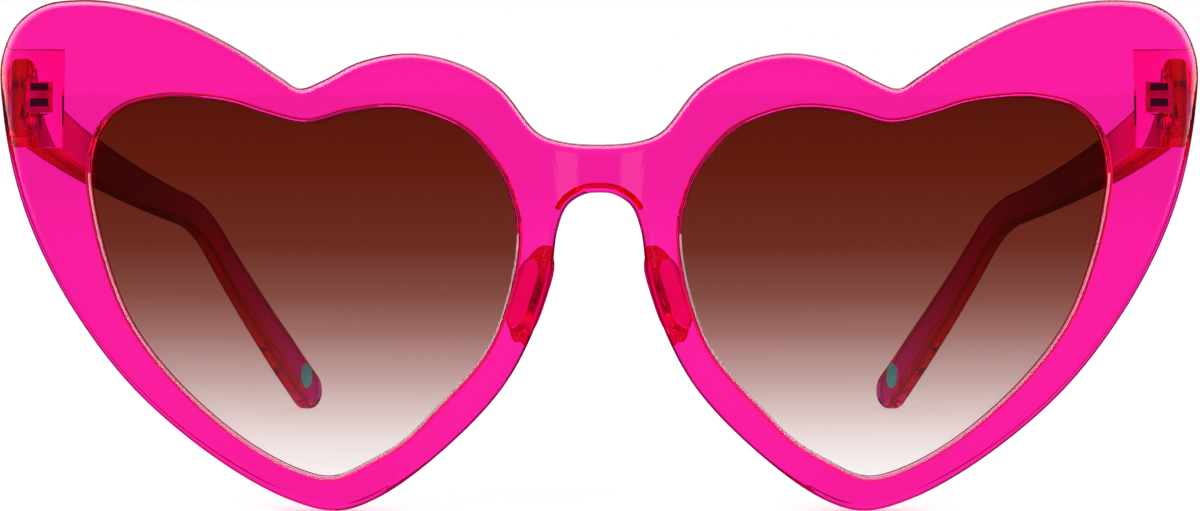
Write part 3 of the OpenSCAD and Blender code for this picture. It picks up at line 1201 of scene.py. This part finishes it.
    def build(self) -> None:
        """Builds and dresses the front."""
        rim, half = self.outer_round, self.width / 2
        plate = Plate(self.heart_outline(), self.thickness, rim, rim, every(self.strip, -half, half))
        bm = carve(plate.build(self.bent), self._arch_cutter(), Cut.REMOVE)
        for side in Side:
            tools = [(self._seat(), Cut.JOIN), (self._lens_cutter(), Cut.REMOVE)]
            tools += [(tool, Cut.REMOVE) for tool in self._pockets()]
            for tool, cut in tools:
                bm = carve(bm, mirrored(tool) if side is Side.RIGHT else tool, cut)
        bmesh.ops.remove_doubles(bm, verts=bm.verts[:], dist=self.merge)
        piece = finished(bm, "plastic_front", STANCE.matrix(), sharp=22.0)
        dress(piece, self.material, "front", "front_frame")


@dataclass
class Lens:
    """One lens, snapped into its groove."""

    front: Front
    side: Side
    material: Material
    thickness: float = 1.8
    play: float = 0.05
    rim: float = 0.15

    def build(self) -> None:
        """Builds and dresses the lens."""
        front = self.front
        outline = grown(front.lens_outline(), front.groove_depth - self.play)
        start = front.groove[0] + self.play

        def bent(point: Vector) -> Vector:
            """Bends a point of the flat lens, below the front's face."""
            return front.bent(point + Vector((0, start, 0)))

        cuts = every(front.strip, 0, front.width / 2)
        bm = Plate(outline, self.thickness, self.rim, self.rim, cuts, rim_steps=2).build(bent)
        tag = self.side.tag
        piece = finished(bm, f"gradient_lens_{tag}", STANCE.matrix(), self.side)
        dress(piece, self.material, "front", f"lens_{tag}")


@dataclass
class NosePad:
    """One leaf cemented behind the front beside the nose."""

    front: Front
    side: Side
    material: Material
    length: float = 12.5
    width: float = 3.7
    reach: float = 6.5
    splay: float = 12.0
    lean: float = 18.0
    end_radius: float = 8.0
    bond: float = 0.05
    rim: float = 0.7
    root_rim: float = 0.1
    # Size of the leaf where it stands free, as a share of its size at the root
    waist: float = 0.8
    waist_depth: float = 0.35
    waist_steps: int = 6
    steps: int = 8
    strip: float = 0.8
    # Middle of the root, across and up
    place: Pair = (8.282, 26.714)
    # Outline, as shares of the width and of the length
    shape: tuple[Pair, ...] = (
        (0.05, 0.5), (0.42, 0.38), (0.5, 0), (0.4, -0.34),
        (0, -0.5), (-0.4, -0.36), (-0.5, 0), (-0.38, 0.36),
    )  # fmt: skip

    def _leaf(self, point: Vector) -> Vector:
        """Stretches the flat leaf from the front's back face to the rounded end.

        Args:
            point: A point of the flat leaf.

        Returns:
            Its place behind the front.
        """
        front, (x, z) = self.front, self.place
        base = front.depth_at(x, front.thickness)
        share = point.y / self.reach
        slim = 1 + (self.waist - 1) * eased(min(1.0, share / self.waist_depth))
        turn = Matrix.Rotation(math.radians(-self.splay), 4, "Z")
        turn = turn @ Matrix.Rotation(math.radians(-self.lean), 4, "Y")
        across = turn @ Vector((point.x * slim, 0, point.z * slim)) + Vector((x, base, z))
        along = turn @ Vector((0, 1, 0))
        # It starts at the back face, which is a cylinder about the bend's own axis
        root = Vector((across.x, across.y - front.bend))
        radius = front.bend - front.thickness - self.bond
        start = meeting(root, Vector((along.x, along.y)), radius, -1)
        # It ends at a cylinder that lies across the leaf
        head = Vector((across.y - (base + self.reach - self.end_radius), across.z - z))
        end = meeting(head, Vector((along.y, along.z)), self.end_radius, 1)
        return across + along * (start + (end - start) * share)

    def build(self) -> None:
        """Builds and dresses the nose pad."""
        outline = smooth_loop([(x * self.width, z * self.length) for x, z in self.shape], self.steps)
        steps, depth = self.waist_steps, self.reach * self.waist_depth
        plate = Plate(
            outline,
            self.reach,
            self.root_rim,
            self.rim,
            cuts=every(self.strip, *about(self.width / 2 - self.rim)),
            rim_steps=4,
            margin=0.05,
            layers=[depth * k / steps for k in range(1, steps + 1)],
            rows=every(2 * self.strip, *about(self.length / 2 - self.rim)),
            merge=1e-3,
        )
        bm = plate.build(self._leaf)
        tag = self.side.tag
        piece = finished(bm, f"cemented_pad_{tag}", STANCE.matrix(), self.side, sharp=50.0)
        dress(piece, self.material, "front", f"nose_pad_{tag}")


@dataclass
class Temple:
    """One side arm, drawn in its hinge's frame: back as X of the flat plate, up as Z."""

    side: Side
    material: Material
    start: float = -1.75
    run: float = 79.5
    ear: float = 39.0
    ear_angle: float = 30.0
    bend: float = 25.5
    # Heights at the hinge end, the shoulder, the neck and the tip, and the shares of the
    # length where the last three are reached
    heights: tuple[float, float, float, float] = (10.1, 7.4, 4.7, 6.1)
    shares: tuple[float, float, float] = (0.13, 0.59, 0.95)
    thickness: float = 3.9
    tip_thickness: float = 3.1
    taper: float = 1.7
    inner_radius: float = 350.0
    rim: float = 1.4
    swing: float = 1.45
    room_z: float = 2.275
    leaf_z: float = 0.525
    pocket_x: float = 1.0
    pocket_z: float = 1.95
    pocket_l: float = 8.05
    disc_radius: float = 2.0
    disc_depth: float = 0.45
    disc_share: float = 0.62
    # How far the leaf's slot runs past the swing, and how far the pocket reaches back over it
    slot_past: float = 0.8
    overlap: float = 0.05
    strip: float = 2.0
    stops: int = 110
    tip_turns: int = 20

    @property
    def droop(self) -> float:
        """Angle in radians that the ear piece turns down."""
        return math.radians(self.ear_angle)

    def length(self) -> float:
        """Length along the lower edge."""
        return self.run - self.start + self.bend * self.droop + self.ear

    def height(self, along: float) -> float:
        """Finds the height of the temple.

        Args:
            along: A way along the lower edge from the hinge end.

        Returns:
            The height there.
        """
        share = along / self.length()
        end, shoulder, neck, tip = self.heights
        first, second, third = self.shares
        if share < first:
            return end + (shoulder - end) * math.sin(math.pi / 2 * share / first)
        if share < second:
            return shoulder + (neck - shoulder) * (share - first) / (second - first)
        return neck + (tip - neck) * eased(min(1.0, (share - second) / (third - second)))

    def lower(self, along: float) -> tuple[Vector, float]:
        """Finds a place along the lower edge.

        Args:
            along: The way along the edge from the hinge end.

        Returns:
            The point, and the angle that the edge turns down there.
        """
        base = -self.heights[0] / 2
        straight = self.run - self.start
        angle = self.droop
        turn = min(max(along - straight, 0) / self.bend, angle)
        point = Vector((self.start + min(along, straight), base))
        point += self.bend * Vector((math.sin(turn), math.cos(turn) - 1))
        left = max(0.0, along - straight - self.bend * angle)
        return point + left * Vector((math.cos(angle), -math.sin(angle))), turn

    def tip(self) -> Vector:
        """Centre of the round tip."""
        point, angle = self.lower(self.length())
        return point + self.heights[3] / 2 * slope(angle)

    def outline(self) -> list[Vector]:
        """Draws the side view of the temple.

        Returns:
            The points, from the hinge along the lower edge, round the tip and back.
        """
        low, high = [], []
        for k in range(self.stops + 1):
            along = self.length() * k / self.stops
            point, angle = self.lower(along)
            low.append(point)
            high.append(point + self.height(along) * slope(angle))
        tip, radius = self.tip(), self.heights[3] / 2
        turns = [math.pi * k / self.tip_turns - self.droop for k in range(1, self.tip_turns)]
        nose = [tip + radius * Vector((math.sin(a), -math.cos(a))) for a in turns]
        return low + nose + high[::-1]

    def inner(self, y: float) -> float:
        """X of the bowed inner face."""
        bow = math.sqrt(self.inner_radius**2 - (y + HINGE.setback) ** 2)
        return HINGE.axis_inset - self.inner_radius + bow

    def outer_arc(self) -> tuple[Vector, float]:
        """Finds the outer face, which runs from the hinge end to the thinner tip.

        Returns:
            The centre and the radius of its arc.
        """
        start = Vector((HINGE.axis_inset + self.thickness, -HINGE.setback))
        tip = self.tip()
        chord = Vector((self.inner(tip.x) + self.tip_thickness, tip.x)) - start
        taper = math.radians(self.taper)
        radius = chord.length / 2 / math.sin(math.atan2(-chord.x, chord.y) - taper)
        return start - radius * Vector((math.cos(taper), math.sin(taper))), radius

    def outer(self, y: float) -> float:
        """X of the outer face."""
        centre, radius = self.outer_arc()
        return centre.x + math.sqrt(radius**2 - (y - centre.y) ** 2)

    def _bowed(self, point: Vector) -> Vector:
        """Bows the flat temple in towards the head.

        Args:
            point: A point of the flat temple.

        Returns:
            Its place in the hinge's frame.
        """
        share = point.y / self.thickness
        inner, outer = self.inner(point.x), self.outer(point.x)
        return Vector((inner + (outer - inner) * share, point.x, point.z))

    def _pockets(self) -> list[BMesh]:
        """Makes the room for the barrels and the hinge leaf, and the seat of the disc.

        Returns:
            The solids to cut away.
        """
        own, swing = Matrix.Identity(4), self.swing
        room, wide = about(self.room_z), (-OVER, self.pocket_x)
        back = Vector((math.cos(self.droop), -math.sin(self.droop)))
        y, z = self.tip() - self.disc_share * self.heights[3] * back
        turn = math.asin((y + HINGE.setback) / self.inner_radius)
        disc = Matrix.Translation((self.inner(y), y, z)) @ Matrix.Rotation(turn, 4, "Z")
        return [
            drum(swing, room, own),
            block((-OVER, swing), (self.start - OVER, 0.0), room, own),
            block(wide, (0.0, swing + self.slot_past), about(self.leaf_z), own),
            block(wide, (swing - self.overlap, swing + self.pocket_l), about(self.pocket_z), own),
            drum(self.disc_radius, (-OVER, self.disc_depth), disc @ Matrix.Rotation(math.pi / 2, 4, "Y")),
        ]

    def build(self) -> None:
        """Builds and dresses the temple."""
        cuts = every(self.strip, 0, self.length())
        bm = Plate(self.outline(), self.thickness, self.rim, self.rim, cuts).build(self._bowed)
        for tool in self._pockets():
            bm = carve(bm, tool, Cut.REMOVE)
        tag = self.side.tag
        piece = finished(bm, f"plastic_temple_{tag}", STANCE.matrix() @ HINGE.matrix(), self.side)
        dress(piece, self.material, f"temple_arm_{tag}", f"temple_{tag}")


@dataclass
class Hardware:
    """Metal parts that keep the fixed frame's own shapes."""

    nodes: dict[str, Object]
    finishes: dict[str, Metal]

    def build(self) -> None:
        """Dresses the leaves, screws and discs of both sides."""
        for prefix, finish in self.finishes.items():
            material = finish.build()
            for side in Side:
                piece = self.nodes[f"{prefix}_{side.tag}"]
                piece.data.materials.clear()
                piece.data.materials.append(material)
                LOG.info("%s: dressed in %s", piece.name, material.name)


@dataclass
class Studio:
    """Camera, lamps, white surround and floor."""

    focal: float = 110.25
    sensor: float = 36.0
    distance: float = 450.0
    eye: float = 31.45
    shift: float = 0.0007
    floor_half: float = 6.0
    # Soft square lamps: name, place and side in metres, and watts
    lamps: tuple[tuple[str, Triple, float, float], ...] = (
        ("key", (-0.45, -0.55, 0.75), 0.5, 2.6),
        ("fill", (0.6, -0.35, 0.45), 0.6, 1.2),
        ("back", (0.1, 0.7, 0.6), 0.5, 1.6),
    )
    aim: Triple = (0.0, 0.0, 0.03)
    # Thin upright lights beside the camera, which the bent bridge mirrors as two bands
    strip_across: float = 0.0215
    strip_away: float = 0.57
    strip_up: float = 0.073
    strip_size: Pair = (0.0145, 0.04)
    strip_glow: float = 0.6
    world_light: float = 0.6
    # In mirrors the room is dark behind the camera and beyond the object, and bright between
    mirror_light: float = 6.0
    mirror_stops: Stops = ((0.1, "#121212"), (0.28, WHITE), (0.55, WHITE), (0.7, "#161616"))

    def build(self) -> None:
        """Sets the studio up."""
        self._camera()
        self._world()
        self._floor()
        self._lamps()
        self._strips()
        self._light_paths()

    @staticmethod
    def _light_paths() -> None:
        """Lets light run the length of a clear temple, where it bounces many times inside."""
        cycles = bpy.context.scene.cycles
        cycles.max_bounces, cycles.transmission_bounces, cycles.glossy_bounces = 32, 32, 24

    def _camera(self) -> None:
        """Aims the camera square at the front, as in the photograph."""
        data = bpy.data.cameras.new("camera")
        data.lens, data.sensor_width, data.shift_x = self.focal, self.sensor, self.shift
        camera = shown("camera", data)
        camera.location = STANCE.matrix() @ Vector((0, -self.distance, self.eye))
        camera.rotation_euler = (math.radians(90 - STANCE.lean), 0, 0)
        bpy.context.scene.camera = camera

    def _world(self) -> None:
        """Makes the surround white to the eye, softer as light, and dim in mirrors."""
        world = bpy.data.worlds.new("surround")
        bpy.context.scene.world = world
        world.use_nodes = True
        tree = world.node_tree
        tree.nodes.clear()
        path = add_node(tree, "ShaderNodeLightPath")
        way = add_node(tree, "ShaderNodeTexCoord").outputs["Generated"]
        ahead = add_node(tree, "ShaderNodeSeparateXYZ", {0: way}).outputs["Y"]
        room = blend(tree, spread(tree, ahead, -1.0, 1.0), self.mirror_stops)
        tones = ((linear(WHITE), self.world_light), (room, self.mirror_light), (linear(WHITE), 1.0))
        light, mirror, white = (
            add_node(tree, "ShaderNodeBackground", {"Color": colour, "Strength": strength})
            for colour, strength in tones
        )
        other = mix_shaders(tree, path.outputs["Is Glossy Ray"], light, mirror)
        seen = mix_shaders(tree, in_view(tree, path), other, white)
        add_node(tree, "ShaderNodeOutputWorld", {"Surface": seen.outputs[0]})

    def _floor(self) -> None:
        """Lays a white floor that still shows the object's shadow."""
        bm = bmesh.new()
        bmesh.ops.create_grid(bm, x_segments=1, y_segments=1, size=self.floor_half)
        floor = finished(bm, "floor", Matrix.Identity(4))
        floor.data.materials.append(PaintedBoard().build())
        floor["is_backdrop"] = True

    def _lamps(self) -> None:
        """Hangs the soft lamps, which all look at the object."""
        for name, place, side, power in self.lamps:
            way = Vector(self.aim) - Vector(place)
            self._hang(name, place, (side, side), power, way.to_track_quat("-Z", "Y").to_euler())

    def _strips(self) -> None:
        """Hangs the thin upright lights, which look straight ahead."""
        width, height = self.strip_size
        power = self.strip_glow * math.pi * width * height
        for side in Side:
            place = (side.value * self.strip_across, -self.strip_away, self.strip_up)
            self._hang(f"strip_{side.tag}", place, self.strip_size, power, (math.pi / 2, 0, 0))

    @staticmethod
    def _hang(name: str, place: Triple, size: Pair, power: float, turn: Sequence[float]) -> None:
        """Hangs one lamp.

        Args:
            name: The lamp's name.
            place: Where it hangs, in metres.
            size: Its width and height, in metres.
            power: Its power in watts.
            turn: Its turn about each axis, in radians.
        """
        data = bpy.data.lights.new(name, "AREA")
        data.shape, data.energy = "RECTANGLE", power
        data.size, data.size_y = size
        lamp = shown(name, data)
        lamp.location, lamp.rotation_euler = place, turn


def main() -> None:
    """Builds every piece in order."""
    logging.basicConfig(level=logging.INFO, format="%(message)s")
    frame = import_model()
    fixed_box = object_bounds()
    bpy.context.scene.view_settings.view_transform = "Standard"

    Studio().build()
    front = Front(ClearPlastic().build())
    front.build()
    tint, pad_plastic, temple_plastic = (
        finish.build() for finish in (TintedLens(), CrimsonAcetate(), DippedAcetate())
    )
    for side in Side:
        Lens(front, side, tint).build()
        NosePad(front, side, pad_plastic).build()
        Temple(side, temple_plastic).build()
    metals = {
        "front_hinge": BlackenedSilver(),
        "temple_hinge": NickelSilver(),
        "hinge_screw": TurnedSteel(),
        "tip_disc": SatinEnamel(),
    }
    Hardware(frame["nodes"], metals).build()

    boxes = {"cad": fixed_box, "visual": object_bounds()}
    {name: [list(corner) for corner in box] for name, box in boxes.items()}


if __name__ == "__main__":
    main()
